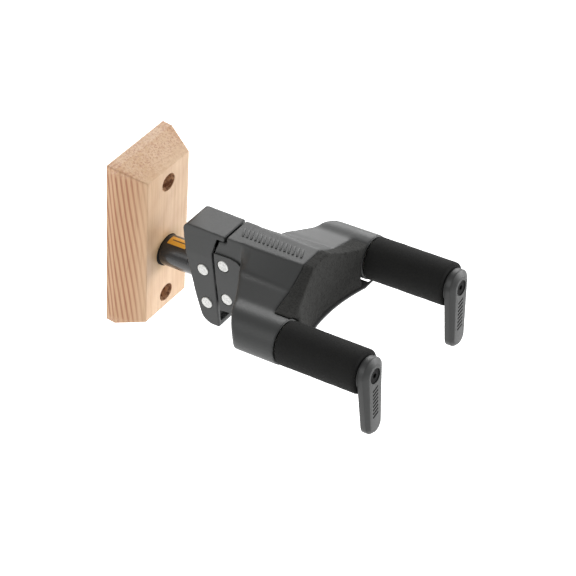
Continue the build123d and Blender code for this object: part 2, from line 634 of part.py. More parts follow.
def arm(side):
    """One arm: tube, bushes, crank, foam sleeve and end lever."""
    hang = LEVER_HANG[side]
    turn = -45.0 - hang / 2 if side == "left" else -135.0 - hang / 2
    pin_x, pin_u = CRANK_R * cos(radians(turn)), CRANK_R * sin(radians(turn))

    with BuildPart() as tube:
        rod(on_arm(side, ARM_TUBE_REAR), ARM_TUBE_R, LEVER_REAR - ARM_TUBE_REAR, ARM_TUBE_BORE)
    save(tube, f"arm_tube_{side}")

    for place, start, length in (("rear", 99.6, 5.6), ("front", 111.6, 7.4)):
        with BuildPart() as bush:
            rod(on_arm(side, start), BORE_R, length, ARM_TUBE_R + RUN_FIT)
        save(bush, f"{place}_bush_{side}")

    with BuildPart() as ring:
        with BuildSketch(on_arm(side, 106.2)) as outline:
            Circle(ARM_TUBE_R + 1.6)
            Circle(ARM_TUBE_R, mode=Mode.SUBTRACT)
            with Locations((0, -ARM_TUBE_R)):
                Rectangle(5.0, 6.0, mode=Mode.SUBTRACT)
        extrude(outline.sketch, amount=1.2)
    save(ring, f"retaining_ring_{side}")

    with BuildPart() as crank:
        rod(on_arm(side, CRANK_REAR), CRANK_R + 2.3, CRANK_THICK)
        rod(on_arm(side, CRANK_REAR + CRANK_THICK), ARM_TUBE_BORE, 7.0)
        with BuildSketch(on_arm(side, CRANK_REAR)) as hole:
            with Locations((pin_x, pin_u)):
                Circle(CRANK_PIN_R)
        extrude(hole.sketch, amount=CRANK_THICK, mode=Mode.SUBTRACT)
    save(crank, f"crank_{side}")

    with BuildPart() as pin:
        with BuildSketch(on_arm(side, CROSSBAR_REAR - 0.6)) as end:
            with Locations((pin_x, pin_u)):
                Circle(CRANK_PIN_R)
        extrude(end.sketch, amount=CRANK_REAR + CRANK_THICK - CROSSBAR_REAR + 0.6)
    save(pin, f"crank_pin_{side}")

    with BuildPart() as sleeve:
        rod(on_arm(side, FOAM_REAR), FOAM_R, FOAM_FRONT - FOAM_REAR, ARM_TUBE_R)
        fillet(sleeve.edges().filter_by(GeomType.CIRCLE).filter_by(lambda e: e.radius > FOAM_R - 0.1),
               radius=1.6)
    save(sleeve, f"foam_sleeve_{side}")

    leaning = Plane(origin=on_arm(side, LEVER_REAR).origin, z_dir=FORWARD,
                    x_dir=Vector(1, 0, 0).rotate(Axis((0, 0, 0), FORWARD), -hang))
    with BuildPart() as lever:
        with BuildSketch(leaning) as outline:
            with BuildLine():
                top = LEVER_TOP - LEVER_WIDTH / 2
                low = LEVER_TIP_WIDTH / 2 - LEVER_DROP
                ThreePointArc((LEVER_WIDTH / 2, top), (0, LEVER_TOP), (-LEVER_WIDTH / 2, top))
                Line((-LEVER_WIDTH / 2, top), (-LEVER_TIP_WIDTH / 2, low))
                ThreePointArc((-LEVER_TIP_WIDTH / 2, low), (0, -LEVER_DROP), (LEVER_TIP_WIDTH / 2, low))
                Line((LEVER_TIP_WIDTH / 2, low), (LEVER_WIDTH / 2, top))
            make_face()
        extrude(outline.sketch, amount=LEVER_FRONT - LEVER_REAR)
        with BuildSketch(leaning) as flange:
            Circle(LEVER_FLANGE_R)
        extrude(flange.sketch, amount=LEVER_FLANGE)
        front_rim = lever.edges().group_by(Axis((0, 0, 0), FORWARD))[-1]
        fillet(front_rim, radius=0.8)
        rod(on_arm(side, LEVER_REAR - SPIGOT), ARM_TUBE_BORE, SPIGOT)
        for start, radius in ((LEVER_FRONT - LEVER_RECESS_DEPTH, LEVER_RECESS_R),
                              (LEVER_REAR - SPIGOT, SCREW_R)):
            with BuildSketch(on_arm(side, start)) as hole:
                Circle(radius)
            extrude(hole.sketch, amount=30.0, mode=Mode.SUBTRACT)
    save(lever, f"end_lever_{side}")

    with BuildPart() as screw:
        rod(on_arm(side, LEVER_REAR - SPIGOT), SCREW_R,
            LEVER_FRONT - LEVER_RECESS_DEPTH - LEVER_REAR + SPIGOT)
        rod(on_arm(side, LEVER_FRONT - LEVER_RECESS_DEPTH), LEVER_RECESS_R - 0.5, 0.7)
        with BuildSketch(on_arm(side, LEVER_FRONT - 0.5)) as socket:
            RegularPolygon(1.7, 6)
        extrude(socket.sketch, amount=-1.8, mode=Mode.SUBTRACT)
    save(screw, f"lever_screw_{side}")


for side in SIDES:
    arm(side)
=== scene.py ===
"""Looks of the wall guitar hanger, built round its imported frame.

Places are in millimetres from where the shaft leaves the wood block: x as in the frame, f forward
along the shaft and u up, square to it. at() turns them into the hanger's own axes (x, -f, u), and
settle() carries a finished piece from those axes into the frame.
"""

import json
from math import asin, atan2, cos, pi, radians, sin

import bpy
from mathutils import Euler, Matrix, Vector


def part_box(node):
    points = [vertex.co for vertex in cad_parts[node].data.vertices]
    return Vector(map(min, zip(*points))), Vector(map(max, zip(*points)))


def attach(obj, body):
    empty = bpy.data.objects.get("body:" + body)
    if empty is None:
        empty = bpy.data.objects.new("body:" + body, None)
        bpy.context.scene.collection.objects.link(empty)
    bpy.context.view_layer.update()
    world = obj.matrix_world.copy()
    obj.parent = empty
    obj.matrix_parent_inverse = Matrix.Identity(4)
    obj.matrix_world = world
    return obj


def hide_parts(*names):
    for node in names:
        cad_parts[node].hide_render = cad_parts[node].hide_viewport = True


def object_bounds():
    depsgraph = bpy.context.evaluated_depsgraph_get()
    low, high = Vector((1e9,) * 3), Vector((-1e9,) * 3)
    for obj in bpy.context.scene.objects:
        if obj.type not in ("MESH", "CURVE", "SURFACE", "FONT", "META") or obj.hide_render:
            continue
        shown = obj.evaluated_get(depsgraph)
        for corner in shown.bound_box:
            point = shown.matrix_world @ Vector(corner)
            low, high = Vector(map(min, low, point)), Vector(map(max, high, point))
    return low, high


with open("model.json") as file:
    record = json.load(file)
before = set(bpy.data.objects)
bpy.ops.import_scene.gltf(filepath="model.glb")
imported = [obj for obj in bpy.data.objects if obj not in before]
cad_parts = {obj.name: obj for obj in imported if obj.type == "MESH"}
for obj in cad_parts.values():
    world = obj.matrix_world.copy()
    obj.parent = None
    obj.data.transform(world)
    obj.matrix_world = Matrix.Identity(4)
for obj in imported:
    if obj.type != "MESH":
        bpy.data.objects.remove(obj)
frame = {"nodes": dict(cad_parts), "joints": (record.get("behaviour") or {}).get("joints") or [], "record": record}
cad_low, cad_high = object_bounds()
nodes = frame["nodes"]
joints = {joint["name"]: joint for joint in frame["joints"]}

MM = 0.001
SIDES = {"left": -1, "right": 1}

# ---------------------------------------------------------------- places taken from the frame

swivel = joints["head_swivel"]
SHAFT_TILT = asin(swivel["axis"][2])
FORWARD = Vector(swivel["axis"])
BLOCK_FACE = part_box("wood_block")[0].y
EXIT = Vector(swivel["pos_m"])
EXIT -= FORWARD * ((EXIT.y - BLOCK_FACE) / FORWARD.y)
SHAFT = Matrix.Translation(EXIT) @ Matrix.Rotation(-SHAFT_TILT, 4, "X")


def in_shaft(point):
    """(x, f, u) in mm of a point of the frame."""
    local = SHAFT.inverted() @ Vector(point)
    return local.x / MM, -local.y / MM, local.z / MM


ARM_X, _, ARM_U = in_shaft(joints["right_arm_turn"]["pos_m"])
BLOCK_THICK = -BLOCK_FACE / MM

# ---------------------------------------------------------------- sizes of the visible pieces (mm)

SCREW_HOLE_R = 6.1
SCREW_HOLE_HEIGHT = 43.5            # above and below the middle of the block
BAND_R = 9.6

BARREL_R = 13.6
SPINE_FRONT = 108.0
SPINE_FRONT_U = 33.0
SPINE_FALL = 0.0156                 # slope of the spine's top, down towards its front, in radians
YOKE_BOTTOM = ARM_U - BARREL_R

FOAM_R = 13.1
FOAM_BORE_R = 8.05
FOAM_REAR, FOAM_FRONT = 119.5, 171.8

LEVER_REAR, LEVER_FRONT = 172.0, 178.5
LEVER_TOP_U, LEVER_TIP_U = 0.6, -32.2        # centres of the lever's round ends, from the arm's axis
LEVER_TOP_R, LEVER_TIP_R = 9.9, 7.2
LEVER_CHAMFER_DEPTH = 2.0
LEVER_HANG = {"left": 4.5, "right": 7.5}     # degrees off straight down, at rest
SCREW_R = 2.0

# ---------------------------------------------------------------- modelling helpers


def at(x, f, u):
    """A place of the hanger in its own axes, in metres."""
    return Vector((x, -f, u)) * MM


def only(piece):
    """Makes one object the only selected one."""
    if bpy.context.mode != "OBJECT":
        bpy.ops.object.mode_set(mode="OBJECT")
    bpy.ops.object.select_all(action="DESELECT")
    piece.select_set(True)
    bpy.context.view_layer.objects.active = piece


def added(name):
    """Names the primitive that was just added."""
    piece = bpy.context.active_object
    piece.name = name
    piece.data.name = name
    return piece


def edit(piece, kind="VERT"):
    """Opens one object in edit mode with nothing selected."""
    only(piece)
    bpy.ops.object.mode_set(mode="EDIT")
    bpy.ops.mesh.select_mode(type=kind)
    bpy.ops.mesh.select_all(action="DESELECT")


def close():
    """Leaves edit mode."""
    bpy.ops.object.mode_set(mode="OBJECT")


def pick(piece, kind, test):
    """Opens edit mode with the elements selected whose place (and normal, for a face) pass the test."""
    edit(piece, kind)
    close()
    mesh = piece.data
    place = piece.matrix_world
    turn = place.to_3x3().inverted().transposed()
    if kind == "VERT":
        for vertex in mesh.vertices:
            vertex.select = test(place @ vertex.co)
    elif kind == "EDGE":
        for edge in mesh.edges:
            ends = [place @ mesh.vertices[i].co for i in edge.vertices]
            edge.select = test(*ends)
    else:
        for face in mesh.polygons:
            face.select = test(place @ face.center, (turn @ face.normal).normalized())
    bpy.ops.object.mode_set(mode="EDIT")


def modify(piece, kind, **settings):
    """Adds a modifier and applies it."""
    only(piece)
    modifier = piece.modifiers.new(kind.title(), kind)
    for name, value in settings.items():
        setattr(modifier, name, value)
    bpy.ops.object.modifier_apply(modifier=modifier.name)


def cut(piece, tool, operation="DIFFERENCE"):
    """Boolean with another object, which is then removed."""
    modify(piece, "BOOLEAN", object=tool, operation=operation, solver="EXACT")
    bpy.data.objects.remove(tool)


def smooth(piece, angle):
    """Shades a piece smooth across its edges flatter than angle, in degrees."""
    only(piece)
    bpy.ops.object.shade_smooth_by_angle(angle=radians(angle))


def settle(piece, body, slot, material, *stands_for):
    """Puts a piece's place into its mesh, in the frame, and sets how it rides and what it stands for."""
    piece.data.transform(SHAFT @ piece.matrix_world)
    piece.matrix_world = Matrix.Identity(4)
    piece.data.materials.clear()
    piece.data.materials.append(material)
    for face in piece.data.polygons:
        face.material_index = 0
    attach(piece, body)
    if stands_for:
        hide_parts(*stands_for)


def tidy(piece):
    """Merges doubles, then turns every face outwards."""
    edit(piece)
    bpy.ops.mesh.select_all(action="SELECT")
    bpy.ops.mesh.remove_doubles(threshold=0.002 * MM)
    bpy.ops.mesh.normals_make_consistent(inside=False)
    close()


def cad_copy(node, name):
    """A closed copy of a CAD node, in the hanger's own axes."""
    source = nodes[node]
    piece = bpy.data.objects.new(name, source.data.copy())
    bpy.context.scene.collection.objects.link(piece)
    piece.data.transform(SHAFT.inverted())
    only(piece)
    bpy.ops.mesh.customdata_custom_splitnormals_clear()
    tidy(piece)
    return piece


def melt(piece, voxel, passes):
    """Turns sharp moulded edges into soft ones: an even mesh, smoothed a little."""
    modify(piece, "REMESH", mode="VOXEL", voxel_size=voxel * MM, use_smooth_shade=True)
    modify(piece, "SMOOTH", factor=0.5, iterations=passes)


def rod(name, place, radius, length, sides=64):
    """Cylinder along the shaft's direction, from its rear face."""
    x, f, u = place
    bpy.ops.mesh.primitive_cylinder_add(vertices=sides, radius=radius * MM, depth=length * MM,
                                        location=at(x, f + length / 2, u), rotation=(pi / 2, 0, 0))
    return added(name)


def box(name, low, high):
    """Box between two corners, each (x, f, u)."""
    size = [abs(b - a) * MM for a, b in zip(low, high)]
    middle = [(a + b) / 2 for a, b in zip(low, high)]
    bpy.ops.mesh.primitive_cube_add(size=1, location=at(*middle), scale=size)
    return added(name)


def prism(name, outline, height, low, across=False):
    """Flat outline thickened: (x, f) points raised from u = low, or (x, u) points from f = low."""
    bpy.ops.mesh.primitive_circle_add(vertices=len(outline), radius=MM, fill_type="NGON")
    piece = added(name)
    for vertex, point in zip(piece.data.vertices, outline):
        vertex.co = at(point[0], low, point[1]) if across else at(point[0], point[1], low)
    edit(piece, "FACE")
    bpy.ops.mesh.select_all(action="SELECT")
    shift = at(0, height, 0) if across else at(0, 0, height)
    bpy.ops.mesh.extrude_region_move(TRANSFORM_OT_translate={"value": shift})
    close()
    tidy(piece)
    return piece


# ---------------------------------------------------------------- shader arithmetic


class Wire:
    """A shader socket that Python arithmetic works on: each operation adds its Math node."""

    def __init__(self, finish, socket):
        self.finish = finish
        self.socket = socket

    def math(self, operation, *values):
        return self.finish.node("ShaderNodeMath", {"operation": operation}, dict(enumerate(values)))

    def __add__(self, other):
        return self.math("ADD", self, other)

    def __sub__(self, other):
        return self.math("SUBTRACT", self, other)

    def __rsub__(self, other):
        return self.math("SUBTRACT", other, self)

    def __mul__(self, other):
        return self.math("MULTIPLY", self, other)

    def __truediv__(self, other):
        return self.math("DIVIDE", self, other)

    def __pow__(self, other):
        return self.math("POWER", self, other)

    def __abs__(self):
        return self.math("ABSOLUTE", self)

    __radd__ = __add__
    __rmul__ = __mul__

    def sine(self):
        return self.math("SINE", self)

    def step(self, low, high):
        """0 below low, 1 above high, smooth between them."""
        settings = {"interpolation_type": "SMOOTHSTEP"}
        return self.finish.node("ShaderNodeMapRange", settings,
                                {"Value": self, "From Min": low, "From Max": high})

    def between(self, low, high, soft):
        """1 from low to high, with soft edges."""
        return self.step(low - soft, low + soft) * (1 - self.step(high - soft, high + soft))


class Finish:
    """A procedural material round one Principled shader."""

    def __init__(self, name, **constants):
        self.material = bpy.data.materials.new(name)
        self.material.use_nodes = True
        self.tree = self.material.node_tree
        self.shader = self.tree.nodes["Principled BSDF"]
        for socket, value in constants.items():
            self.shader.inputs[socket.replace("_", " ")].default_value = value
        self.position = self.node("ShaderNodeTexCoord", output="Object")

    def node(self, kind, settings=None, inputs=None, output=0):
        """Adds a node: its settings first, then the values or links of its sockets."""
        made = self.tree.nodes.new(kind)
        for name, value in (settings or {}).items():
            setattr(made, name, value)
        for name, value in (inputs or {}).items():
            if isinstance(value, Wire):
                self.tree.links.new(value.socket, made.inputs[name])
            else:
                made.inputs[name].default_value = value
        return Wire(self, made.outputs[output])

    def noise(self, scale, detail=3.0, rough=0.55, stretch=(1, 1, 1)):
        """Noise from 0 to 1 whose grains are about 1/scale metres, longer where stretch is under 1."""
        placed = self.node("ShaderNodeMapping", {}, {"Vector": self.position, "Scale": stretch})
        return self.node("ShaderNodeTexNoise", {}, {"Vector": placed, "Scale": scale, "Detail": detail,
                                                    "Roughness": rough})

    def axes(self):
        """The three coordinates of a place, in metres."""
        split = self.node("ShaderNodeSeparateXYZ", {}, {0: self.position}).socket.node
        return [Wire(self, socket) for socket in split.outputs]

    def shaft_axes(self):
        """x, f and u in mm, for patterns that follow the shaft."""
        x, y, z = self.axes()
        y, z = y - EXIT.y, z - EXIT.z
        f = (z * sin(SHAFT_TILT) - y * cos(SHAFT_TILT)) / MM
        u = (y * sin(SHAFT_TILT) + z * cos(SHAFT_TILT)) / MM
        return x / MM, f, u

    def blend(self, factor, first, second):
        """Colour that goes from first to second."""
        colours = [(*c, 1.0) if isinstance(c, tuple) else c for c in (first, second)]
        return self.node("ShaderNodeMix", {"data_type": "RGBA"}, {0: factor, 6: colours[0], 7: colours[1]},
                         output=2)

    def set(self, socket, value):
        """Links a wire to one of the shader's sockets, or gives the socket a value."""
        if isinstance(value, Wire):
            self.tree.links.new(value.socket, self.shader.inputs[socket])
        else:
            self.shader.inputs[socket].default_value = value

    def bump(self, height, depth, strength=1.0):
        """Raises the surface by height, a wire from 0 to 1, times depth in mm."""
        self.set("Normal", self.node("ShaderNodeBump", {}, {"Height": height, "Distance": depth * MM,
                                                            "Strength": strength}))


# ---------------------------------------------------------------- materials


def oak():
    """Light oak: pores along the grain, reddish growth rings on the sides, speckled end grain."""
    wood = Finish("oiled_oak", Roughness=0.5, Specular_IOR_Level=0.35)
    x, y, z = wood.axes()
    x_mm, y_mm, z_mm = x / MM, y / MM, z / MM
    side_mm, end_mm = abs(x_mm), abs(z_mm)
    on_side = side_mm.step(19.0, 24.0) * (1 - y_mm.step(-0.35, -0.05))
    on_end = end_mm.step(53.5, 58.5)

    # growth rings lie nearly flat to the wall, and lean a little away from it as they go down
    drift = wood.noise(9.0, 2.0, stretch=(1, 1, 0.25))
    ripple = wood.noise(60.0, 3.0, stretch=(1, 1, 0.12))
    depth = y - z * 0.10 + x * 0.10 + drift * 0.009 + ripple * 0.0016
    ring_angle = depth * (2 * pi / (2.7 * MM))
    ring = (ring_angle.sine() * 0.5 + 0.5) ** 2.2
    late = (ring_angle + 0.9).sine() * 0.5 + 0.5
    hair = (depth * (2 * pi / (0.85 * MM))).sine() * 0.5 + 0.5
    pores = wood.noise(1500.0, 2.0, 0.6, stretch=(1, 1, 0.035)).step(0.52, 0.68)
    fibre = wood.noise(420.0, 4.0, 0.65, stretch=(1, 1, 0.02))
    broad = wood.noise(55.0, 3.0, 0.5, stretch=(1, 0.4, 0.04))

    base = wood.blend(broad.step(0.3, 0.7), (0.70, 0.47, 0.29), (0.79, 0.57, 0.385))
    base = wood.blend(fibre.step(0.35, 0.75) * 0.5, base, (0.60, 0.38, 0.22))
    # painted shade: the sides get a darker, redder tone than the front, which stands for the front catching more
    # of the light
    base = wood.blend(on_side * 0.55, base, (0.66, 0.40, 0.215))
    streaks = (ring * 0.80 + late * 0.08 + hair * 0.14) * (on_side * 0.84 + 0.10) * (1 - on_end * 0.55)
    base = wood.blend(streaks * (fibre * 0.5 + 0.75), base, (0.38, 0.14, 0.075))
    base = wood.blend(pores * (on_side * 0.10 + 0.16), base, (0.36, 0.19, 0.10))

    # end grain: short pores seen head on
    flecks = wood.noise(850.0, 3.0, 0.65, stretch=(1, 1, 0.5)).step(0.50, 0.60)
    pale = wood.noise(700.0, 3.0, 0.6, stretch=(1, 0.6, 1)).step(0.45, 0.65)
    base = wood.blend(flecks * on_end * 0.62, base, (0.45, 0.19, 0.13))
    base = wood.blend(pale * on_end * 0.25, base, (0.80, 0.62, 0.47))

    # rough brown walls inside the screw holes
    from_hole = (x_mm ** 2 + (end_mm - SCREW_HOLE_HEIGHT) ** 2) ** 0.5
    in_hole = 1 - from_hole.step(SCREW_HOLE_R - 0.15, SCREW_HOLE_R + 0.15)
    inside = in_hole * y_mm.step(-BLOCK_THICK + 0.1, -BLOCK_THICK + 0.7)
    chips = wood.noise(300.0, 4.0, 0.7).step(0.44, 0.60)
    hole_shade = wood.blend(chips, (0.24, 0.10, 0.05), (0.74, 0.47, 0.28))
    base = wood.blend(inside * 0.92, base, hole_shade)

    # painted shade: a darker honey tone on the front, round where the tube leaves the wood
    from_tube = (x_mm ** 2 + (z_mm - EXIT.z / MM) ** 2) ** 0.5
    on_front = 1 - y_mm.step(-BLOCK_THICK + 0.2, -BLOCK_THICK + 1.6)
    shade = (1 - from_tube.step(9.0, 19.0)) * on_front
    base = wood.blend(shade * 0.55, base, (0.52, 0.33, 0.14))

    wood.set("Base Color", base)
    wood.set("Roughness", fibre * 0.16 + pores * 0.12 + 0.40)
    wood.bump(fibre * 0.35 + (1 - pores) * 0.65 + chips * inside * 2.0, 0.10, 0.7)
    return wood.material


def moulded(name, shade, rough, grain=2600.0, depth=0.028):
    """Moulded plastic with a fine spark-eroded grain, glossier in some places than in others."""
    plastic = Finish(name, Specular_IOR_Level=0.5)
    spark = plastic.noise(grain, 2.0, 0.6)
    cloud = plastic.noise(45.0, 3.0, 0.5)
    dark = tuple(c * 0.84 for c in shade)
    light = tuple(c * 1.16 for c in shade)
    tone = plastic.blend(cloud * 0.55 + spark * 0.45, dark, light)
    plastic.set("Base Color", tone)
    plastic.set("Roughness", cloud * 0.10 + spark * 0.08 + (rough - 0.09))
    plastic.bump(spark, depth)
    return plastic.material


def matt_skin(name, shade, grain, depth, mottling):
    """Matt dark surface with small pores and an uneven skin: foam, rubber, blacked steel."""
    surface = Finish(name, Roughness=0.92, Specular_IOR_Level=0.22)
    pores = surface.node("ShaderNodeTexVoronoi", {"feature": "F1"},
                         {"Vector": surface.position, "Scale": grain})
    cells = pores.step(0.08, 0.55)
    skin = surface.noise(grain * 0.45, 4.0, 0.65)
    cloud = surface.noise(70.0, 3.0, 0.6)
    dark = tuple(c * (1 - mottling) for c in shade)
    light = tuple(c * (1 + mottling) for c in shade)
    tone = surface.blend(skin * 0.6 + cloud * 0.4, dark, light)
    surface.set("Base Color", surface.blend((1 - cells) * 0.55, tone, tuple(c * 0.35 for c in shade)))
    surface.set("Roughness", skin * 0.12 + 0.82)
    surface.bump(cells * 0.45 + skin * 0.55, depth)
    return surface.material


def paint(name, shade, rough, coat=0.0):
    """Stoved paint with a faint orange peel."""
    skin = Finish(name, Coat_Weight=coat, Coat_Roughness=0.08)
    peel = skin.noise(500.0, 2.0, 0.5)
    scuff = skin.noise(160.0, 4.0, 0.7, stretch=(1, 0.3, 1))
    skin.set("Base Color", skin.blend(scuff.step(0.4, 0.8) * 0.5, shade, tuple(c * 1.5 for c in shade)))
    skin.set("Roughness", scuff * 0.14 + (rough - 0.05))
    skin.bump(peel, 0.012)
    return skin.material


def steel(name, shade, rough, brush=(1, 0.05, 1)):
    """Metal with fine scratches and a cloudy plating."""
    metal = Finish(name, Metallic=1.0)
    lines = metal.noise(1800.0, 3.0, 0.6, stretch=brush)
    cloud = metal.noise(220.0, 3.0, 0.55)
    metal.set("Base Color", metal.blend(cloud * 0.7, shade, tuple(c * 0.80 for c in shade)))
    metal.set("Roughness", lines * 0.16 + cloud * 0.08 + (rough - 0.10))
    metal.bump(lines, 0.012)
    return metal.material


def rivet_metal():
    """Bright peened heads: almost white, with small dimples."""
    metal = Finish("peened_rivets", Metallic=0.55)
    dents = metal.noise(900.0, 3.0, 0.6)
    marks = metal.noise(2600.0, 2.0, 0.5)
    metal.set("Base Color", metal.blend(dents.step(0.35, 0.75), (0.74, 0.74, 0.72), (0.46, 0.46, 0.45)))
    metal.set("Roughness", marks * 0.15 + 0.33)
    metal.bump(dents, 0.06)
    return metal.material


def band_film():
    """Printed film: black, with an amber bar along the top of the tube and one dark stripe in it."""
    film = Finish("tube_band", Roughness=0.3, Coat_Weight=0.3, Coat_Roughness=0.2)
    x, f, u = film.shaft_axes()
    around = film.node("ShaderNodeMath", {"operation": "ARCTAN2"}, {0: x, 1: u}) * BAND_R
    bar = f.between(4.4, 17.6, 0.12) * around.between(-4.2, 2.6, 0.12)
    stripe = f.between(6.4, 15.6, 0.12) * around.between(-1.2, -0.3, 0.12)
    ink = film.noise(900.0, 2.0, 0.5)
    black = film.blend(ink, (0.010, 0.010, 0.011), (0.018, 0.018, 0.018))
    amber = film.blend(ink, (0.80, 0.36, 0.02), (0.86, 0.44, 0.04))
    film.set("Base Color", film.blend(bar * (1 - stripe * 0.9), black, amber))
    film.set("Roughness", ink * 0.12 + 0.26)
    film.bump(ink, 0.008)
    return film.material


CHARCOAL = (0.036, 0.0375, 0.037)

M = {
    "wood": oak(),
    "housing": moulded("charcoal_moulding", CHARCOAL, 0.50),
    "levers": moulded("lever_moulding", (0.034, 0.0352, 0.0348), 0.46, 2200.0, 0.02),
    # painted shade: a near-black colour for the lever's grip strips, standing for the shade in their recesses
    "marks": matt_skin("painted_groove_shade", (0.006, 0.006, 0.006), 3000.0, 0.01, 0.10),
    # painted highlight: the same charcoal moulding as the housing, coloured much lighter to stand for the bright
    # reflection along the cover's edges
    "rim": moulded("lit_rim_moulding", (0.17, 0.173, 0.171), 0.36),
    "foam": matt_skin("sleeve_foam", (0.0145, 0.0147, 0.0141), 2100.0, 0.18, 0.35),
    "pad_foam": matt_skin("saddle_foam", (0.038, 0.038, 0.036), 950.0, 0.42, 0.55),
    "tube_paint": paint("gloss_black_paint", (0.007, 0.0075, 0.008), 0.24, 0.6),
    "arm_steel": paint("satin_black_steel", (0.03, 0.03, 0.03), 0.42),
    "dark_screw": matt_skin("black_oxide", (0.010, 0.010, 0.010), 2600.0, 0.02, 0.20),
    "black_rubber": matt_skin("black_rubber", (0.014, 0.014, 0.014), 3000.0, 0.02, 0.15),
    "label": band_film(),
    "plated_steel": steel("zinc_plate", (0.60, 0.61, 0.62), 0.42),
    "rivet_steel": rivet_metal(),
    "bush": moulded("natural_acetal", (0.62, 0.60, 0.52), 0.42),
    "bronze": steel("sintered_bronze", (0.66, 0.42, 0.20), 0.45, (1, 1, 1)),
}

for entry in frame["record"]["subparts"]:
    part = nodes[entry["node"]]
    part.data.materials.clear()
    part.data.materials.append(M[entry["material_slot"]])
    smooth(part, 30)

# ---------------------------------------------------------------- moulded housings


def ramp(value, start, length):
    """0 up to start, and 1 from length past it."""
    return min(max((value - start) / length, 0.0), 1.0)


def soft_yoke():
    """The yoke's moulding with soft edges, and rounder still round its shoulders."""
    shell = cad_copy("yoke_housing", "yoke_shell")
    melt(shell, 0.75, 4)
    round_off = shell.vertex_groups.new(name="rear_edges")
    for vertex in shell.data.vertices:
        x, f, u = vertex.co.x / MM, -vertex.co.y / MM, vertex.co.z / MM
        # beside the spine, behind the barrels' front and clear of the underside
        weight = ramp(abs(x), 13.0, 6.0) * ramp(-f, -113.0, 6.0) * ramp(u, -4.5, 3.0)
        if weight > 0:
            round_off.add([vertex.index], weight, "REPLACE")
    modify(shell, "SMOOTH", factor=0.5, iterations=30, vertex_group="rear_edges")
    settle(shell, "yoke", "housing", M["housing"], "yoke_housing")


def soft_copy(node, body, material, voxel, passes, name):
    """A CAD part with its edges softened as a moulding's are, on voxels of a size in mm."""
    piece = cad_copy(node, name)
    melt(piece, voxel, passes)
    settle(piece, body, "housing", material, node)


soft_yoke()
soft_copy("rear_bracket", "swivel_head", M["housing"], 0.42, 3, "bracket_shell")
# the cover wears the lighter rim colour, a painted highlight
soft_copy("bottom_cover", "yoke", M["rim"], 0.35, 2, "cover_shell")
for side in SIDES:
    soft_copy(f"side_plate_{side}", "yoke", M["housing"], 0.26, 3, f"cheek_plate_{side}")

# ---------------------------------------------------------------- foam saddle between the arms


def saddle():
    """Foam pad that the neck's heel rests against: a band over the spine with an ear on each barrel."""
    rear, middle, corner = SPINE_FRONT - 0.2, 114.4, 119.8      # f of its back, and of its hollow front
    half, ear_rear, ear_front = 31.0, 39.8, 43.8                # half widths
    arc_steps = 24
    radius = (half ** 2 + (corner - middle) ** 2) / (2 * (corner - middle))
    swing = atan2(half, radius - (corner - middle))
    front = []
    for step in range(arc_steps + 1):
        angle = swing * (1 - 2 * step / arc_steps)
        front.append((radius * sin(angle), middle + radius * (1 - cos(angle))))
    outline = [(-half - 1, corner), (-ear_front, corner - 0.2), (-ear_rear, rear), (ear_rear, rear),
               (ear_front, corner - 0.2), (half + 1, corner)] + front
    pad = prism("saddle_pad", outline, 60.0, YOKE_BOTTOM + 1.5)
    # section across the shaft: crown over the spine, slopes, then flat ears
    edge = [(46.0, -8.0), (46.0, 20.6), (41.0, 20.6), (33.2, 22.1), (25.4, 24.3), (17.1, 27.9),
            (11.0, 31.1), (8.3, SPINE_FRONT_U + 0.4)]
    section = edge + [(-x, u) for x, u in reversed(edge)]
    cut(pad, prism("section", section, 60.0, 90.0, across=True), "INTERSECT")
    for outward in SIDES.values():
        cut(pad, rod("barrel", (outward * ARM_X, 90.0, ARM_U), BARREL_R + 0.15, 60.0, 96))
        cut(pad, box("below_ear", (outward * 31.0, 100, -30), (outward * 60.0, 130, 10.0)))
    melt(pad, 0.8, 9)
    modify(pad, "SUBSURF", levels=1, render_levels=1)
    # the skin of moulded foam is never quite flat
    grain = bpy.data.textures.new("foam_skin", "CLOUDS")
    grain.noise_scale = 3.2 * MM
    modify(pad, "DISPLACE", texture=grain, strength=0.45 * MM, mid_level=0.5, texture_coords="LOCAL")
    settle(pad, "yoke", "pad_foam", M["pad_foam"], "cradle_pad")


saddle()

# ---------------------------------------------------------------- arms


def foam_sleeve(side):
    """Foam tube pushed over the arm, with soft rims and a skin that wanders a little."""
    outward = SIDES[side]
    length = FOAM_FRONT - FOAM_REAR
    sleeve = rod(f"grip_foam_{side}", (outward * ARM_X, FOAM_REAR, ARM_U), FOAM_R, length, 96)
    cut(sleeve, rod("bore", (outward * ARM_X, FOAM_REAR - 1, ARM_U), FOAM_BORE_R, length + 2))
    modify(sleeve, "BEVEL", width=1.7 * MM, segments=5, limit_method="ANGLE", angle_limit=radians(50))
    # rings of points between the rims, for the skin to be moved by
    rings, margin = 26, 2.2
    for ring in range(1, rings):
        edit(sleeve)
        bpy.ops.mesh.select_all(action="SELECT")
        f = FOAM_REAR + margin + (length - 2 * margin) * ring / rings
        bpy.ops.mesh.bisect(plane_co=at(0, f, 0), plane_no=(0, 1, 0))
        close()
    grain = bpy.data.textures.new("sleeve_skin", "CLOUDS")
    grain.noise_scale = 9 * MM
    modify(sleeve, "DISPLACE", texture=grain, strength=0.30 * MM, mid_level=0.6, texture_coords="LOCAL")
    smooth(sleeve, 60)
    settle(sleeve, f"{side}_arm", "foam", M["foam"], f"foam_sleeve_{side}")


def on_lever(side):
    """Carries what is made on the shaft's own line, hanging straight down, to one arm's lever."""
    return (Matrix.Translation(at(SIDES[side] * ARM_X, 0, ARM_U))
            @ Matrix.Rotation(radians(LEVER_HANG[side]), 4, "Y"))


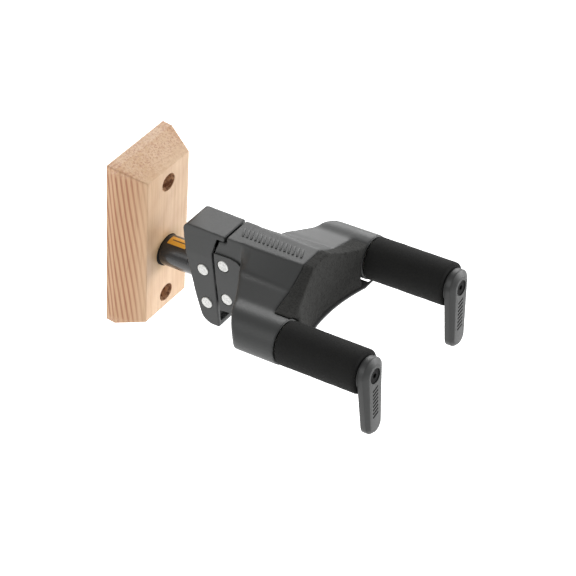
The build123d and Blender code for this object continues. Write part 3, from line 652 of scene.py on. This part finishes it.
def end_lever(side):
    """Lever that closes the arm's end: wide at its back, chamfered to a narrow front face."""
    # rounded bar: a disc whose lower half is pulled down and made smaller
    start = LEVER_REAR + 0.8
    lever = rod(f"closing_lever_{side}", (0, start, LEVER_TOP_U), LEVER_TOP_R,
                LEVER_FRONT - LEVER_CHAMFER_DEPTH - start, 80)
    pick(lever, "VERT", lambda p: p.z < (LEVER_TOP_U - 0.01) * MM)
    bpy.ops.transform.translate(value=at(0, 0, LEVER_TIP_U - LEVER_TOP_U))
    ratio = LEVER_TIP_R / LEVER_TOP_R
    bpy.ops.transform.resize(value=(ratio, 1, ratio), center_override=at(0, start, LEVER_TIP_U))
    close()
    # a last step forward that narrows to the front face, which leaves the chamfer all round
    pick(lever, "FACE", lambda p, n: n.y < -0.9)
    bpy.ops.mesh.extrude_region_move(
        TRANSFORM_OT_translate={"value": at(0, LEVER_CHAMFER_DEPTH, 0)})
    close()
    front = -(LEVER_FRONT - 0.01) * MM
    pick(lever, "VERT", lambda p: p.y < front and p.z > (LEVER_TOP_U - 0.01) * MM)
    bpy.ops.transform.resize(value=(0.62, 1, 0.62), center_override=at(0, LEVER_FRONT, LEVER_TOP_U))
    close()
    pick(lever, "VERT", lambda p: p.y < front and p.z < (LEVER_TOP_U - 0.02) * MM)
    bpy.ops.transform.resize(value=(0.74, 1, 0.74), center_override=at(0, LEVER_FRONT, LEVER_TIP_U))
    close()
    modify(lever, "BEVEL", width=0.35 * MM, segments=3, limit_method="ANGLE", angle_limit=radians(28))
    # round boss against the foam
    bpy.ops.mesh.primitive_cone_add(vertices=80, radius1=10.4 * MM, radius2=7.6 * MM, depth=4.6 * MM,
                                    location=at(0, LEVER_REAR + 2.3, 0), rotation=(pi / 2, 0, 0))
    boss = added("boss")
    modify(boss, "BEVEL", width=1.0 * MM, segments=4, limit_method="ANGLE", angle_limit=radians(40))
    cut(lever, boss, "UNION")
    # recess and hole for the screw, and the spigot that plugs the arm's tube
    cut(lever, rod("recess", (0, LEVER_FRONT - 1.2, 0), 4.7, 5.0))
    cut(lever, rod("bore", (0, LEVER_REAR - 2, 0), SCREW_R, 10.0, 32))
    spigot = rod("spigot", (0, LEVER_REAR - 9.0, 0), 6.0, 9.4)
    cut(spigot, rod("hole", (0, LEVER_REAR - 10.0, 0), SCREW_R, 12.0, 32))
    cut(lever, spigot, "UNION")
    smooth(lever, 32)
    lever.data.transform(on_lever(side) @ lever.matrix_world)
    lever.matrix_world = Matrix.Identity(4)
    settle(lever, f"{side}_arm", "levers", M["levers"], f"end_lever_{side}")


def plain_bars(name, count, spacing, size, slant, carry, body, slot, material):
    """A row of small raised bars along y, with rounded edges; the matrix carry places the row."""
    row = None
    for number in range(count):
        shift = (number - (count - 1) / 2) * spacing
        bpy.ops.mesh.primitive_cube_add(size=1, location=(0, shift * MM, 0), rotation=(0, 0, slant),
                                        scale=[edge * MM for edge in size])
        bar = added(name)
        modify(bar, "BEVEL", width=0.12 * MM, segments=3)
        if row:
            only(row)
            bar.select_set(True)
            bpy.ops.object.join()
        else:
            row = bar
    only(row)
    bpy.ops.object.transform_apply()
    row.data.transform(carry)
    smooth(row, 50)
    settle(row, body, slot, material)


for side in SIDES:
    foam_sleeve(side)
    end_lever(side)
    # raised bars on each lever's front, coloured near-black as painted shade for its recessed grip strips
    face = on_lever(side) @ Matrix.Translation(at(0, LEVER_FRONT - 0.06, -17.5))
    plain_bars(f"lever_shade_bars_{side}", 8, 2.5, (5.4, 1.1, 0.3), radians(18),
               face @ Matrix.Rotation(pi / 2, 4, "X"), f"{side}_arm", "dark_screw", M["marks"])

spine_top = Matrix.Translation(at(0, 81.0, 33.46)) @ Matrix.Rotation(SPINE_FALL, 4, "X")
plain_bars("grip_ribs", 15, 2.9, (7.6, 1.2, 0.8), radians(24), spine_top, "yoke", "housing",
           M["housing"])

# ---------------------------------------------------------------- stage, lights and camera


def soft_light(name, offset, size, power):
    """Square softbox that points at the hanger's middle."""
    bpy.ops.object.light_add(type="AREA", location=middle + Vector(offset))
    lamp = bpy.context.active_object
    lamp.name = name
    lamp.data.shape = "SQUARE"
    lamp.data.size = size
    lamp.data.energy = power
    lamp.rotation_euler = (-Vector(offset)).to_track_quat("-Z", "Y").to_euler()


middle = (cad_low + cad_high) / 2
soft_light("rear_left_box", (-0.78, 0.40, 0.56), 0.6, 3.0)
soft_light("rear_right_box", (0.98, 0.62, 0.46), 0.8, 10.5)
soft_light("front_box", (1.12, -0.82, 0.36), 0.8, 16.5)

world = bpy.data.worlds.new("studio")
bpy.context.scene.world = world
world.use_nodes = True
sky = world.node_tree.nodes["Background"].inputs
sky["Color"].default_value = (1.0, 1.0, 1.0, 1.0)
sky["Strength"].default_value = 0.43

# a pale floor well below the hanger, with a little glow that keeps it even
FLOOR_DROP = 0.55
bpy.ops.mesh.primitive_plane_add(size=14.0, location=(0, 0, cad_low.z - FLOOR_DROP))
floor = added("floor")
pale = Finish("pale_floor", Roughness=0.9, Specular_IOR_Level=0.1)
pale.set("Base Color", pale.blend(pale.noise(3.0), (0.93, 0.93, 0.93), (0.95, 0.95, 0.95)))
pale.set("Emission Color", (1.0, 1.0, 1.0, 1.0))
pale.set("Emission Strength", 0.66)
floor.data.materials.append(pale.material)

CAMERA_PLACE = Vector((-0.78716, -0.60032, 0.85773))
CAMERA_AZIMUTH, CAMERA_ELEVATION, CAMERA_ROLL = radians(58.171), radians(42.476), radians(4.3595)
SENSOR_WIDTH, FOCAL_LENGTH = 36.0, 135.98

bpy.ops.object.camera_add(location=CAMERA_PLACE)
camera = bpy.context.active_object
camera.name = "camera"
camera.rotation_mode = "QUATERNION"
aim = Euler((pi / 2 - CAMERA_ELEVATION, 0, -CAMERA_AZIMUTH), "XYZ").to_quaternion()
camera.rotation_quaternion = aim @ Euler((0, 0, CAMERA_ROLL), "XYZ").to_quaternion()
camera.data.sensor_width = SENSOR_WIDTH
camera.data.lens = FOCAL_LENGTH
camera.data.clip_start, camera.data.clip_end = 0.05, 60.0
bpy.context.scene.camera = camera
bpy.context.scene.view_settings.view_transform = "Standard"
